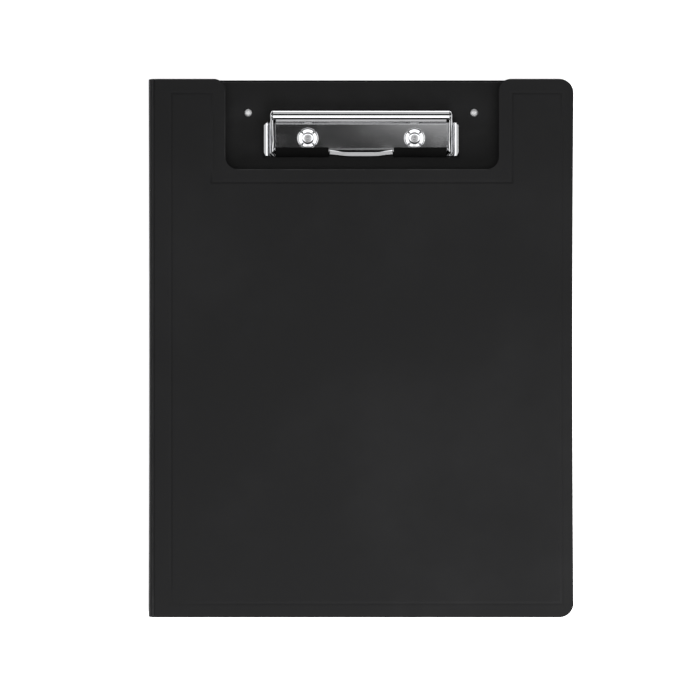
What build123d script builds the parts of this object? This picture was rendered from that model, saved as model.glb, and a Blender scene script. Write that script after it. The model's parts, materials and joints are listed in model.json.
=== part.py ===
from build123d import *
import os
from math import asin, cos, degrees, radians, sin

# A clipboard folder: two soft covers joined by a bowed spine, a stiff writing board on the
# back cover, and a low spring clip riveted to the board inside the front cover's cut-out.
# It lies closed on its back cover. +X runs from the spine to the fore edge, +Y towards the
# clip and +Z up. The origin is under the middle of the closed folder. Sizes are millimetres.

# Folder
folder_width = 254.0
folder_length = 322.0
folder_thickness = 14.0
sheet = 1.4
fore_corner_radius = 8.5
spine_corner_radius = 1.2

# Spine, bowed outwards between two pressed creases
spine_bow = 1.75
crease_bead = 1.0
crease_gap = 0.1
crease_tip = 0.7
crease_reach = 1.2
spine_taper = 1.6
spine_taper_angle = 15.0

# Cut-out in the front cover, open at the top edge
cutout_width = 163.7
cutout_depth = 54.0
cutout_centre_x = 0.6
cutout_floor_radius = 7.5
cutout_mouth_radius = 7.0

# Pressed line on the front cover: its distance from each edge and round the cut-out
line_width = 1.8
line_depth = 0.3
line_from_spine = 13.2
line_from_fore_edge = 6.8
line_from_ends = 8.3
line_round_cutout = 7.6

# Inner pocket, welded to the inside of the front cover along the pressed line
pocket_sheet = 0.4
pocket_height = 130.0
pocket_thumb_radius = 16.0
pocket_corner_radius = 3.0

# Writing board
board_thickness = 2.5
board_inset = 1.3
board_spine_inset = 3.8
board_corner_radius = 7.2

# Rivets and their washers
shank_diameter = 3.0
shank_clearance = 0.1
board_rivet_spacing = 135.8
board_rivet_from_edge = 19.7
board_rivet_head = 4.7
board_rivet_head_height = 1.0
clip_rivet_spacing = 64.0
clip_rivet_head = 4.6
clip_rivet_head_height = 0.8
clip_rivet_hollow = 2.2
clip_rivet_hollow_depth = 1.6
washer_diameter = 9.0
washer_thickness = 0.5
clench_height = 0.45
recess_depth = 1.0
recess_clearance = 0.2

# Clip base: a steel deck with its rear edge rolled into a barrel, a foot and an ear each side
steel = 1.0
barrel_diameter = 8.3
barrel_half_length = 52.9
barrel_from_edge = 22.35
barrel_seam = 0.4
barrel_seam_angle = 205.0
deck_half_width = 51.6
deck_height = 2.2
deck_front_reach = 18.85
deck_rear_reach = 4.05
deck_slope_run = 1.8
deck_edge_radius = 0.8
dimple_from_front = 6.15
dimple_top_radius = 5.9
dimple_floor_radius = 2.9
foot_half_width = 58.4
foot_front_reach = 23.2
ear_height = 8.5
ear_lean = 1.7
ear_front_reach = 24.6
ear_rear_reach = 3.25
ear_rear_chamfer = 2.0
ear_front_chamfer_run = 1.6
ear_front_chamfer_rise = 6.4

# Clip jaw: two arms, a sloping toe between them and a curled lip for the finger
jaw_steel = 0.9
arm_half_width = 55.2
arm_lift = 0.4
arm_eye_radius = 3.9
arm_eye_gap = 0.2
arm_front_reach = 23.4
arm_front_height = 4.3
arm_bend_start = 6.65
arm_bend_end = 3.15
shoulder_gap = 0.5
shoulder_front_reach = 22.2
toe_slope = 36.87
toe_length = 5.0
toe_front_reach = 22.78
toe_rise = 1.56
lip_half_width = 18.9
lip_radius = 3.4
lip_centre_reach = 21.35
lip_centre_height = 7.4
lip_start_angle = 232.0
lip_sweep = 75.0
lip_bow = 1.8
lip_bar = 2.0

# Rubber grips on the toe, one each side of the lip
grip_wall = 0.8
grip_underlap = 2.5
grip_toe = 0.9
grip_end_gap = 0.3
grip_lip_gap = 0.6

# Pivot rod and the two torsion springs that centre it in the barrel
rod_diameter = 3.1
rod_head_diameter = 4.4
rod_head_length = 0.8
running_clearance = 0.05
spring_length = 30.0
spring_end_inset = 2.9

# Places that follow from the sizes above
fore_edge_x = folder_width / 2
head_y = folder_length / 2
crease_x = -folder_width / 2 + sheet / 2 + spine_bow
tip_x = crease_x + crease_bead / 2 + crease_gap
back_mid_z = sheet / 2
front_mid_z = folder_thickness - sheet / 2
board_top_z = sheet + board_thickness
board_left_x = crease_x + board_spine_inset
board_right_x = fore_edge_x - board_inset
board_half_length = head_y - board_inset
cutout_floor_y = head_y - cutout_depth
barrel_y = head_y - barrel_from_edge
barrel_z = board_top_z + barrel_diameter / 2
bore_radius = barrel_diameter / 2 - steel
deck_front_y = barrel_y - deck_front_reach
deck_rear_y = barrel_y - deck_rear_reach
deck_top_z = board_top_z + deck_height
clip_rivet_y = deck_front_y + dimple_from_front
clip_rivet_x = clip_rivet_spacing / 2
board_rivet_x = board_rivet_spacing / 2
board_rivet_y = head_y - board_rivet_from_edge
hole_radius = shank_diameter / 2 + shank_clearance
washer_z = recess_depth - washer_thickness
arm_bottom_z = board_top_z + steel + arm_lift
eye_inner_x = barrel_half_length + arm_eye_gap
shoulder_inner_x = deck_half_width + shoulder_gap
grip_inner_x = lip_half_width + grip_lip_gap
grip_outer_x = deck_half_width - grip_end_gap


def at_angle(centre, radius, angle):
    """The point at a distance and an angle, in degrees, from a centre in a flat sketch."""
    return Vector(*centre) + Vector(radius * cos(radians(angle)), radius * sin(radians(angle)))


def cover_profile(mid_height):
    """Corners of a cover's section across the folder, thinned towards its crease."""
    full_x = crease_x + crease_reach
    return [
        (tip_x, mid_height - crease_tip / 2),
        (full_x, mid_height - sheet / 2),
        (fore_edge_x, mid_height - sheet / 2),
        (fore_edge_x, mid_height + sheet / 2),
        (full_x, mid_height + sheet / 2),
        (tip_x, mid_height + crease_tip / 2),
    ]


# Outline that both covers share
cover_width = fore_edge_x - tip_x
with BuildSketch() as cover_outline:
    with Locations((tip_x + cover_width / 2, 0)):
        Rectangle(cover_width, folder_length)
    fillet(cover_outline.vertices().group_by(Axis.X)[-1], fore_corner_radius)
    fillet(cover_outline.vertices().group_by(Axis.X)[0], spine_corner_radius)

rivet_places = [
    (-board_rivet_x, board_rivet_y),
    (board_rivet_x, board_rivet_y),
    (-clip_rivet_x, clip_rivet_y),
    (clip_rivet_x, clip_rivet_y),
]

# Back cover, with a shallow recess under each rivet so that the back lies flat
with BuildPart() as back_cover:
    with BuildSketch(Plane.XZ):
        with BuildLine():
            Polyline(*cover_profile(back_mid_z), close=True)
        make_face()
    extrude(amount=head_y, both=True)
    with BuildSketch(Plane.XY):
        add(cover_outline.sketch)
    extrude(amount=sheet, mode=Mode.INTERSECT)
    with BuildSketch(Plane.XY):
        with Locations(*rivet_places):
            Circle(washer_diameter / 2 + recess_clearance)
    extrude(amount=recess_depth, mode=Mode.SUBTRACT)
    with BuildSketch(Plane.XY):
        with Locations(*rivet_places):
            Circle(hole_radius)
    extrude(amount=sheet, mode=Mode.SUBTRACT)

# Writing board
board_width = board_right_x - board_left_x
with BuildPart() as writing_board:
    with BuildSketch(Plane.XY.offset(sheet)) as board_outline:
        with Locations((board_left_x + board_width / 2, 0)):
            Rectangle(board_width, 2 * board_half_length)
        fillet(board_outline.vertices().group_by(Axis.X)[-1], board_corner_radius)
        with Locations(*rivet_places):
            Circle(hole_radius, mode=Mode.SUBTRACT)
    extrude(amount=board_thickness)

# Spine: an arc between the creases, thinned at its ends to a bead on each crease line
spine_height = front_mid_z - back_mid_z
bow_radius = ((spine_height / 2) ** 2 + spine_bow ** 2) / (2 * spine_bow)
bow_angle = degrees(asin(spine_height / 2 / bow_radius))
full_angle = bow_angle - degrees(spine_taper / bow_radius)
bow_centre = (crease_x + bow_radius - spine_bow, folder_thickness / 2)
lower_crease = (crease_x, back_mid_z)
upper_crease = (crease_x, front_mid_z)
with BuildPart() as spine:
    with BuildSketch(Plane.XZ):
        with BuildLine():
            outer = ThreePointArc(
                at_angle(bow_centre, bow_radius + sheet / 2, 180 + full_angle),
                at_angle(bow_centre, bow_radius + sheet / 2, 180),
                at_angle(bow_centre, bow_radius + sheet / 2, 180 - full_angle),
            )
            inner = ThreePointArc(
                at_angle(bow_centre, bow_radius - sheet / 2, 180 - full_angle),
                at_angle(bow_centre, bow_radius - sheet / 2, 180),
                at_angle(bow_centre, bow_radius - sheet / 2, 180 + full_angle),
            )
            Polyline(
                outer @ 1,
                at_angle(upper_crease, crease_bead / 2, -90 - bow_angle - spine_taper_angle),
                at_angle(upper_crease, crease_bead / 2, -bow_angle),
                inner @ 0,
            )
            Polyline(
                inner @ 1,
                at_angle(lower_crease, crease_bead / 2, bow_angle),
                at_angle(lower_crease, crease_bead / 2, 90 + bow_angle + spine_taper_angle),
                outer @ 0,
            )
        make_face()
        with Locations(lower_crease, upper_crease):
            Circle(crease_bead / 2)
    extrude(amount=head_y, both=True)

# Front cover, with its cut-out and the pressed line that follows its edges
line_left_x = -fore_edge_x + line_from_spine
line_right_x = fore_edge_x - line_from_fore_edge
line_end_y = head_y - line_from_ends
line_step_x = cutout_width / 2 + line_round_cutout
line_step_y = cutout_floor_y - line_round_cutout
line_corners = [
    (line_left_x, -line_end_y),
    (line_right_x, -line_end_y),
    (line_right_x, line_end_y),
    (cutout_centre_x + line_step_x, line_end_y),
    (cutout_centre_x + line_step_x, line_step_y),
    (cutout_centre_x - line_step_x, line_step_y),
    (cutout_centre_x - line_step_x, line_end_y),
    (line_left_x, line_end_y),
]
with BuildPart() as front_cover:
    with BuildSketch(Plane.XZ):
        with BuildLine():
            Polyline(*cover_profile(front_mid_z), close=True)
        make_face()
    extrude(amount=head_y, both=True)
    with BuildSketch(Plane.XY.offset(folder_thickness - sheet)) as front_outline:
        add(cover_outline.sketch)
        with BuildSketch(mode=Mode.SUBTRACT) as cutout:
            with Locations((cutout_centre_x, head_y)):
                Rectangle(cutout_width, 2 * cutout_depth)
            fillet(cutout.vertices().group_by(Axis.Y)[0], cutout_floor_radius)
        mouth = front_outline.vertices().group_by(Axis.Y)[-1].sort_by(Axis.X)[1:3]
        fillet(mouth, cutout_mouth_radius)
    extrude(amount=sheet, mode=Mode.INTERSECT)
    with BuildSketch(Plane.XY.offset(folder_thickness)):
        with BuildLine():
            Polyline(*line_corners, close=True)
        make_face()
        offset(amount=line_width / 2, kind=Kind.INTERSECTION)
        offset(amount=-line_width, kind=Kind.INTERSECTION, mode=Mode.SUBTRACT)
    extrude(amount=-line_depth, mode=Mode.SUBTRACT)

# Inner pocket, open towards the clip, with a thumb cut in its opening edge
pocket_width = line_right_x - line_left_x
pocket_centre_x = line_left_x + pocket_width / 2
pocket_z = folder_thickness - sheet - pocket_sheet
with BuildPart() as inner_pocket:
    with BuildSketch(Plane.XY.offset(pocket_z)) as pocket_outline:
        with Locations((pocket_centre_x, pocket_height / 2 - line_end_y)):
            Rectangle(pocket_width, pocket_height)
        fillet(pocket_outline.vertices(), pocket_corner_radius)
        with Locations((pocket_centre_x, pocket_height - line_end_y)):
            Circle(pocket_thumb_radius, mode=Mode.SUBTRACT)
    extrude(amount=pocket_sheet)


def make_rivet(place, seat_z, head_diameter, head_height, hollow):
    """A rivet with its head on a seat, its shank through the board and a clenched tail."""
    tail_z = washer_z - clench_height
    with BuildPart() as rivet:
        with BuildSketch(Plane.XY.offset(tail_z)):
            with Locations(place):
                Circle(head_diameter / 2)
        extrude(amount=clench_height)
        with BuildSketch(Plane.XY.offset(washer_z)):
            with Locations(place):
                Circle(shank_diameter / 2)
        extrude(amount=seat_z - washer_z)
        with BuildSketch(Plane.XY.offset(seat_z)):
            with Locations(place):
                Circle(head_diameter / 2)
        extrude(amount=head_height)
        rim = rivet.faces().sort_by(Axis.Z)[-1].edges()
        fillet(rim, head_height * 0.8)
        if hollow:
            with BuildSketch(Plane.XY.offset(seat_z + head_height)):
                with Locations(place):
                    Circle(clip_rivet_hollow / 2)
            extrude(amount=-clip_rivet_hollow_depth, mode=Mode.SUBTRACT)
    return rivet.part


def make_washers(places):
    """Steel washers in the back cover's recesses, one under each rivet."""
    with BuildPart() as washers:
        with BuildSketch(Plane.XY.offset(washer_z)):
            with Locations(*places):
                Circle(washer_diameter / 2)
            with Locations(*places):
                Circle(hole_radius, mode=Mode.SUBTRACT)
        extrude(amount=washer_thickness)
    return washers.part


# Clip base: the rolled barrel, the deck with its closed sides, and the two dimples
deck_corners = [
    (deck_front_y, board_top_z),
    (deck_front_y, deck_top_z),
    (deck_rear_y, deck_top_z),
    (deck_rear_y + deck_slope_run, board_top_z + steel),
    (barrel_y, board_top_z + steel),
    (barrel_y, board_top_z),
]
hollow_corners = [
    (deck_front_y + steel, board_top_z),
    (deck_front_y + steel, deck_top_z - steel),
    (deck_rear_y - steel / 2, deck_top_z - steel),
    (deck_rear_y + deck_slope_run - steel / 2, board_top_z),
]
ear_mid_z = board_top_z + steel / 2
ear_corners = [
    (barrel_y - ear_front_reach, board_top_z),
    (barrel_y - ear_rear_reach, board_top_z),
    (barrel_y - ear_rear_reach, board_top_z + ear_height - ear_rear_chamfer),
    (barrel_y - ear_rear_reach - ear_rear_chamfer, board_top_z + ear_height),
    (barrel_y - ear_front_reach + ear_front_chamfer_run, board_top_z + ear_height),
    (barrel_y - ear_front_reach, board_top_z + ear_height - ear_front_chamfer_rise),
]
foot_width = foot_half_width - deck_half_width
foot_length = foot_front_reach - ear_rear_reach
with BuildPart() as ears:
    with BuildSketch(Plane.YZ):
        with BuildLine():
            Polyline(*ear_corners, close=True)
        make_face()
    extrude(amount=foot_half_width, both=True)
    with BuildSketch(Plane.XZ.offset(-barrel_y)):
        with BuildLine():
            Polyline(
                (foot_half_width, board_top_z),
                (foot_half_width, ear_mid_z),
                (foot_half_width - ear_lean, board_top_z + ear_height),
                (foot_half_width - ear_lean - steel, board_top_z + ear_height),
                (foot_half_width - steel, ear_mid_z),
                (foot_half_width - steel, board_top_z),
                close=True,
            )
        make_face()
        mirror(about=Plane.YZ)
    extrude(amount=ear_front_reach, mode=Mode.INTERSECT)

with BuildPart() as clip_base:
    with BuildSketch(Plane.YZ) as barrel_section:
        with Locations((barrel_y, barrel_z)):
            Circle(barrel_diameter / 2)
            Circle(bore_radius, mode=Mode.SUBTRACT)
        seam_place = at_angle((barrel_y, barrel_z), bore_radius + steel / 2, barrel_seam_angle)
        with Locations(Location((seam_place.X, seam_place.Y), barrel_seam_angle)):
            Rectangle(2 * steel, barrel_seam, mode=Mode.SUBTRACT)
    extrude(amount=barrel_half_length, both=True)
    with BuildSketch(Plane.YZ):
        with BuildLine():
            Polyline(*deck_corners, close=True)
        make_face()
        with Locations((barrel_y, barrel_z)):
            Circle(bore_radius, mode=Mode.SUBTRACT)
    extrude(amount=deck_half_width, both=True)
    front_edge = clip_base.edges().filter_by(Axis.X).group_by(Axis.Y)[0].sort_by(Axis.Z)[-1]
    fillet(front_edge, deck_edge_radius)
    with BuildSketch(Plane.YZ):
        with BuildLine():
            Polyline(*hollow_corners, close=True)
        make_face()
    extrude(amount=deck_half_width - steel, both=True, mode=Mode.SUBTRACT)
    with Locations((-clip_rivet_x, clip_rivet_y), (clip_rivet_x, clip_rivet_y)):
        with Locations((0, 0, board_top_z + deck_height / 2)):
            Cone(dimple_floor_radius + steel, dimple_top_radius, deck_height)
        with Locations((0, 0, board_top_z + steel + (deck_height - steel) / 2)):
            Cone(
                dimple_floor_radius,
                dimple_top_radius,
                deck_height - steel,
                mode=Mode.SUBTRACT,
            )
        with Locations((0, 0, board_top_z + steel / 2)):
            Cylinder(hole_radius, steel, mode=Mode.SUBTRACT)
    with Locations(
        (deck_half_width + foot_width / 2, barrel_y - ear_rear_reach - foot_length / 2),
        (-deck_half_width - foot_width / 2, barrel_y - ear_rear_reach - foot_length / 2),
    ):
        with Locations((0, 0, ear_mid_z)):
            Box(foot_width, foot_length, steel)
    add(ears.part)

# Clip jaw: arms, shoulders, toe and lip
toe_plane = Plane(
    origin=(0, barrel_y - toe_front_reach, board_top_z + toe_rise),
    x_dir=(0, cos(radians(toe_slope)), sin(radians(toe_slope))),
    z_dir=(1, 0, 0),
)
arm_front_y = barrel_y - arm_front_reach
arm_front_z = board_top_z + arm_front_height
arm_slope = (barrel_z + arm_eye_radius - arm_front_z) / arm_front_reach
bend_start_y = barrel_y - arm_bend_start
bend_end_y = barrel_y - arm_bend_end
shoulder_front_y = barrel_y - shoulder_front_reach


def arm_top(y):
    """Height of the arms' top edge at a place along the folder."""
    return arm_front_z + (y - arm_front_y) * arm_slope


with BuildPart() as arms:
    with BuildSketch(Plane.YZ):
        with BuildLine():
            Polyline(
                (arm_front_y, arm_bottom_z),
                (arm_front_y, arm_front_z),
                (barrel_y, arm_top(barrel_y)),
                (barrel_y, arm_bottom_z),
                close=True,
            )
        make_face()
        with Locations((barrel_y, barrel_z)):
            Circle(arm_eye_radius)
            Circle(rod_diameter / 2, mode=Mode.SUBTRACT)
    extrude(amount=arm_half_width, both=True)
    with BuildSketch(Plane.XY.offset(board_top_z)):
        with BuildLine():
            Polyline(
                (arm_half_width - jaw_steel, arm_front_y),
                (arm_half_width, arm_front_y),
                (arm_half_width, bend_start_y),
                (eye_inner_x + jaw_steel, bend_end_y),
                (eye_inner_x + jaw_steel, head_y),
                (eye_inner_x, head_y),
                (eye_inner_x, bend_end_y),
                (arm_half_width - jaw_steel, bend_start_y),
                close=True,
            )
        make_face()
        mirror(about=Plane.YZ)
    extrude(amount=folder_thickness, mode=Mode.INTERSECT)

with BuildPart() as lip:
    with BuildSketch(Plane.YZ) as lip_section:
        lip_centre = (barrel_y - lip_centre_reach, board_top_z + lip_centre_height)
        with BuildLine():
            hollow_side = CenterArc(lip_centre, lip_radius, lip_start_angle, lip_sweep)
            full_side = CenterArc(lip_centre, lip_radius + jaw_steel, lip_start_angle, lip_sweep)
            Line(hollow_side @ 0, full_side @ 0)
            Line(hollow_side @ 1, full_side @ 1)
        make_face()
    extrude(amount=lip_half_width, both=True)
    lip_front_y = lip_section.sketch.bounding_box().min.X
    with BuildSketch(Plane.XY.offset(board_top_z)):
        with BuildLine():
            edge = ThreePointArc(
                (-lip_half_width, lip_front_y + lip_bow),
                (0, lip_front_y),
                (lip_half_width, lip_front_y + lip_bow),
            )
            Polyline(
                edge @ 1,
                (lip_half_width, barrel_y),
                (-lip_half_width, barrel_y),
                edge @ 0,
            )
        make_face()
    extrude(amount=folder_thickness, mode=Mode.INTERSECT)

with BuildPart() as clip_jaw:
    with BuildSketch(toe_plane):
        with Locations((toe_length / 2, 0)):
            Rectangle(toe_length, jaw_steel)
    extrude(amount=arm_half_width - jaw_steel, both=True)
    with BuildSketch(toe_plane):
        with Locations(((toe_length - lip_bar) / 2, 0)):
            Rectangle(toe_length - lip_bar, 2 * jaw_steel)
    extrude(amount=lip_half_width, both=True, mode=Mode.SUBTRACT)
    for side in (-1, 1):
        with BuildSketch(Plane.YZ.offset(side * shoulder_inner_x)):
            with BuildLine():
                Polyline(
                    (shoulder_front_y, arm_top(shoulder_front_y) - jaw_steel),
                    (shoulder_front_y, arm_top(shoulder_front_y)),
                    (bend_start_y, arm_top(bend_start_y)),
                    (bend_start_y, arm_top(bend_start_y) - jaw_steel),
                    close=True,
                )
            make_face()
        extrude(amount=side * (arm_half_width - shoulder_inner_x))
    add(arms.part)
    add(lip.part)


def make_grip(side):
    """A rubber channel over the toe's top face, front edge and part of its underside."""
    inside = jaw_steel / 2
    outside = jaw_steel / 2 + grip_wall
    start_plane = Plane(
        origin=toe_plane.origin + Vector(side * grip_inner_x, 0, 0),
        x_dir=toe_plane.x_dir,
        z_dir=toe_plane.z_dir,
    )
    with BuildPart() as grip:
        with BuildSketch(start_plane):
            with BuildLine():
                Polyline(
                    (-grip_toe, -outside + grip_wall / 2),
                    (-grip_toe + grip_wall / 2, -outside),
                    (grip_underlap, -outside),
                    (grip_underlap, -inside),
                    (0, -inside),
                    (0, inside),
                    (toe_length, inside),
                    (toe_length, outside),
                    (-grip_toe + grip_wall / 2, outside),
                    (-grip_toe, outside - grip_wall / 2),
                    close=True,
                )
            make_face()
        extrude(amount=side * (grip_outer_x - grip_inner_x))
    return grip.part


# Pivot rod, peened over outside the arms' eyes
rod_half_length = eye_inner_x + jaw_steel
with BuildPart() as pivot_rod:
    with BuildSketch(Plane.YZ):
        with Locations((barrel_y, barrel_z)):
            Circle(rod_diameter / 2)
    extrude(amount=rod_half_length, both=True)
    for side in (-1, 1):
        with BuildSketch(Plane.YZ.offset(side * rod_half_length)):
            with Locations((barrel_y, barrel_z)):
                Circle(rod_head_diameter / 2)
        extrude(amount=side * rod_head_length)


def make_spring(side):
    """A torsion spring's coil, close wound on the rod inside the barrel."""
    outer_end = barrel_half_length - spring_end_inset
    with BuildPart() as spring:
        with BuildSketch(Plane.YZ.offset(side * outer_end)):
            with Locations((barrel_y, barrel_z)):
                Circle(bore_radius - running_clearance)
                Circle(rod_diameter / 2 + running_clearance, mode=Mode.SUBTRACT)
        extrude(amount=-side * spring_length)
    return spring.part


parts = {
    "back_cover": back_cover.part,
    "writing_board": writing_board.part,
    "spine": spine.part,
    "front_cover": front_cover.part,
    "inner_pocket": inner_pocket.part,
    "clip_base": clip_base.part,
    "clip_jaw": clip_jaw.part,
    "pivot_rod": pivot_rod.part,
    "board_rivet_washers": make_washers(rivet_places[:2]),
    "clip_rivet_washers": make_washers(rivet_places[2:]),
}
for side, name in ((-1, "left"), (1, "right")):
    parts[f"board_rivet_{name}"] = make_rivet(
        (side * board_rivet_x, board_rivet_y),
        board_top_z,
        board_rivet_head,
        board_rivet_head_height,
        hollow=False,
    )
    parts[f"clip_rivet_{name}"] = make_rivet(
        (side * clip_rivet_x, clip_rivet_y),
        board_top_z + steel,
        clip_rivet_head,
        clip_rivet_head_height,
        hollow=True,
    )
    parts[f"jaw_grip_{name}"] = make_grip(side)
    parts[f"torsion_spring_{name}"] = make_spring(side)

os.makedirs("parts", exist_ok=True)
for name, piece in parts.items():
    piece.label = name
    export_step(piece, f"parts/{name}.step")
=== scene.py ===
import json
from math import atan2, cos, pi, radians, sin, sqrt

import bmesh
import bpy
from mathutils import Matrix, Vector


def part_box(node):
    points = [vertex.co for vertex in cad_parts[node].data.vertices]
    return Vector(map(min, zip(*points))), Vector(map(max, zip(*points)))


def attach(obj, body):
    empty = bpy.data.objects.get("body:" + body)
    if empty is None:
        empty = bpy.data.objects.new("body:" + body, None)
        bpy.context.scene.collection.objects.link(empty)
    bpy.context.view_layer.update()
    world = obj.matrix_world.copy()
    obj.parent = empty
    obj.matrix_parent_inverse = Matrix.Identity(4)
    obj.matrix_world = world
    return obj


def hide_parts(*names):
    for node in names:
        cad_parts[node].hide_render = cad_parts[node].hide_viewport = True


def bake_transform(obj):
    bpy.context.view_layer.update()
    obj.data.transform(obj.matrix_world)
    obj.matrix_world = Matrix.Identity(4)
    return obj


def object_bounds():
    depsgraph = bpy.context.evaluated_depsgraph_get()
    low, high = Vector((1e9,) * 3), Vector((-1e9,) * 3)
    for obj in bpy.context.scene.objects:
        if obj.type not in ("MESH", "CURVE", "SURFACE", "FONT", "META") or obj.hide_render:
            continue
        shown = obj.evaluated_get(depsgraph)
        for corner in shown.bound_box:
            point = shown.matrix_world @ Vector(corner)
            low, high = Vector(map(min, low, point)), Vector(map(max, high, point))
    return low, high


# A clipboard folder seen square on from above, lying closed on its back cover.
# Lengths are metres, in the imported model's frame. MM turns a size in millimetres into metres.

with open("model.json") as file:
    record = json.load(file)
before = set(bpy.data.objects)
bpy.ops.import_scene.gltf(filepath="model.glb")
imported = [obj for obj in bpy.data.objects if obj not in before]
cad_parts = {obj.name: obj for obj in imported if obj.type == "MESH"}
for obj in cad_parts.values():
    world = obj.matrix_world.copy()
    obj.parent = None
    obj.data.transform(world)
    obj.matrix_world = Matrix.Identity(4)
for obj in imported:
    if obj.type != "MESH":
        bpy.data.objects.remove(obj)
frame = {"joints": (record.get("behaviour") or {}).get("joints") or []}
cad_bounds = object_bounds()
MM = 0.001

X_AXIS = Vector((1, 0, 0))
Y_AXIS = Vector((0, 1, 0))
Z_AXIS = Vector((0, 0, 1))

# Places read from the frame
joints = {joint["name"]: joint for joint in frame["joints"]}
lower_crease = Vector(joints["spine_fold"]["pos_m"])
upper_crease = Vector(joints["cover_fold"]["pos_m"])
pivot = Vector(joints["jaw_lift"]["pos_m"])
cover_low, cover_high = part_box("front_cover")
back_low, back_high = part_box("back_cover")
board_low, board_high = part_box("writing_board")
pocket_low, pocket_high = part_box("inner_pocket")
base_low, base_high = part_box("clip_base")
rod_low, rod_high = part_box("pivot_rod")
board_top = board_high.z
sheet = cover_high.z - cover_low.z
cover_mid = (cover_high.z + cover_low.z) / 2
back_mid = (back_high.z + back_low.z) / 2


def middle(node):
    """The middle of a node's box, seen from above."""
    low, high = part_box(node)
    return ((low.x + high.x) / 2, (low.y + high.y) / 2)


rivet_places = [
    middle(f"{kind}_rivet_{side}") for kind in ("board", "clip") for side in ("left", "right")
]


# Node groups and materials


def shader_group(name, inputs, outputs):
    """An empty shader node group with named inputs and outputs, and its two end nodes."""
    group = bpy.data.node_groups.new(name, "ShaderNodeTree")
    for label, value in inputs:
        socket = group.interface.new_socket(
            name=label, in_out="INPUT", socket_type="NodeSocketFloat"
        )
        socket.default_value = value
    for label in outputs:
        group.interface.new_socket(name=label, in_out="OUTPUT", socket_type="NodeSocketFloat")
    return group, group.nodes.new("NodeGroupInput"), group.nodes.new("NodeGroupOutput")


def object_noise(tree, scale, detail, roughness=0.5):
    """A noise texture on Object coordinates. scale is a number or an output to read it from."""
    place = tree.nodes.new("ShaderNodeTexCoord")
    noise = tree.nodes.new("ShaderNodeTexNoise")
    tree.links.new(place.outputs["Object"], noise.inputs["Vector"])
    if isinstance(scale, (int, float)):
        noise.inputs["Scale"].default_value = scale
    else:
        tree.links.new(scale, noise.inputs["Scale"])
    noise.inputs["Detail"].default_value = detail
    noise.inputs["Roughness"].default_value = roughness
    return noise.outputs["Fac"]


def ranged(tree, value, low, high, new_low, new_high, smooth=True):
    """The value moved from one range to another, held at its ends."""
    node = tree.nodes.new("ShaderNodeMapRange")
    node.interpolation_type = "SMOOTHSTEP" if smooth else "LINEAR"
    tree.links.new(value, node.inputs["Value"])
    for label, number in (
        ("From Min", low),
        ("From Max", high),
        ("To Min", new_low),
        ("To Max", new_high),
    ):
        node.inputs[label].default_value = number
    return node.outputs["Result"]


def maths(tree, operation, first, second=0.0):
    """One operation on one or two values, each an output or a number."""
    node = tree.nodes.new("ShaderNodeMath")
    node.operation = operation
    for socket, value in zip(node.inputs, (first, second)):
        if isinstance(value, (int, float)):
            socket.default_value = value
        else:
            tree.links.new(value, socket)
    return node.outputs["Value"]


def make_grain_group():
    """Fine moulded grain: two sizes of bump added together, as a height from 0 to 1."""
    sizes = [("Scale", 1800.0), ("Coarse", 0.35)]
    group, start, end = shader_group("moulded_grain", sizes, ["Height"])
    fine = object_noise(group, start.outputs["Scale"], 2.0, 0.55)
    coarse_scale = maths(group, "MULTIPLY", start.outputs["Scale"], 0.27)
    coarse = object_noise(group, coarse_scale, 1.0)
    weighted = maths(group, "MULTIPLY", coarse, start.outputs["Coarse"])
    total = maths(group, "ADD", fine, weighted)
    group.links.new(total, end.inputs["Height"])
    return group


def make_handling_group():
    """Faint smears and rubbed patches left by handling, as a mask from 0 to 1."""
    group, start, end = shader_group("handling_marks", [("Scale", 14.0)], ["Mask"])
    cloud = object_noise(group, start.outputs["Scale"], 4.0, 0.6)
    mask = ranged(group, cloud, 0.42, 0.72, 0.0, 1.0)
    group.links.new(mask, end.inputs["Mask"])
    return group


def make_rim_group():
    """Rubbed rims: the raised edges of a piece, broken up by noise, as a mask from 0 to 1."""
    group, start, end = shader_group("rubbed_rims", [("Amount", 1.0)], ["Mask"])
    shape = group.nodes.new("ShaderNodeNewGeometry")
    raised = ranged(group, shape.outputs["Pointiness"], 0.51, 0.60, 0.0, 1.0)
    patches = ranged(group, object_noise(group, 90.0, 3.0), 0.35, 0.65, 0.25, 1.0)
    broken = maths(group, "MULTIPLY", raised, patches)
    scaled = maths(group, "MULTIPLY", broken, start.outputs["Amount"])
    group.links.new(scaled, end.inputs["Mask"])
    return group


GRAIN = make_grain_group()
HANDLING = make_handling_group()
RIMS = make_rim_group()

PLASTIC_MARKS_SCALE = 9.0
PLASTIC_MARKS_LIGHTEN = 0.10
PLASTIC_MARKS_ROUGHEN = 0.05
STEEL_MARKS_SCALE = 60.0
STEEL_MARKS_DULL = 0.93
STEEL_MARKS_ROUGHEN = 1.6
STEEL_WAVE_SCALE = 38.0
FROST_DULL = 0.82
FROST_ROUGHEN = 0.12
FROST_DEPTH = 0.000006


def group_node(tree, group, **values):
    """A group placed in a material, with its own values."""
    node = tree.nodes.new("ShaderNodeGroup")
    node.node_tree = group
    for label, value in values.items():
        node.inputs[label].default_value = value
    return node


def new_material(name, metallic=0.0, specular=0.5):
    """A material with its shader, ready for links."""
    made = bpy.data.materials.new(name)
    made.use_nodes = True
    shader = made.node_tree.nodes["Principled BSDF"]
    shader.inputs["Metallic"].default_value = metallic
    shader.inputs["Specular IOR Level"].default_value = specular
    return made, made.node_tree, shader


def mixed_colour(tree, mask, dark, light):
    """A colour that goes from dark to light with the mask."""
    mix = tree.nodes.new("ShaderNodeMix")
    mix.data_type = "RGBA"
    tree.links.new(mask, mix.inputs["Factor"])
    mix.inputs["A"].default_value = (*dark, 1.0)
    mix.inputs["B"].default_value = (*light, 1.0)
    return mix.outputs["Result"]


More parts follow.
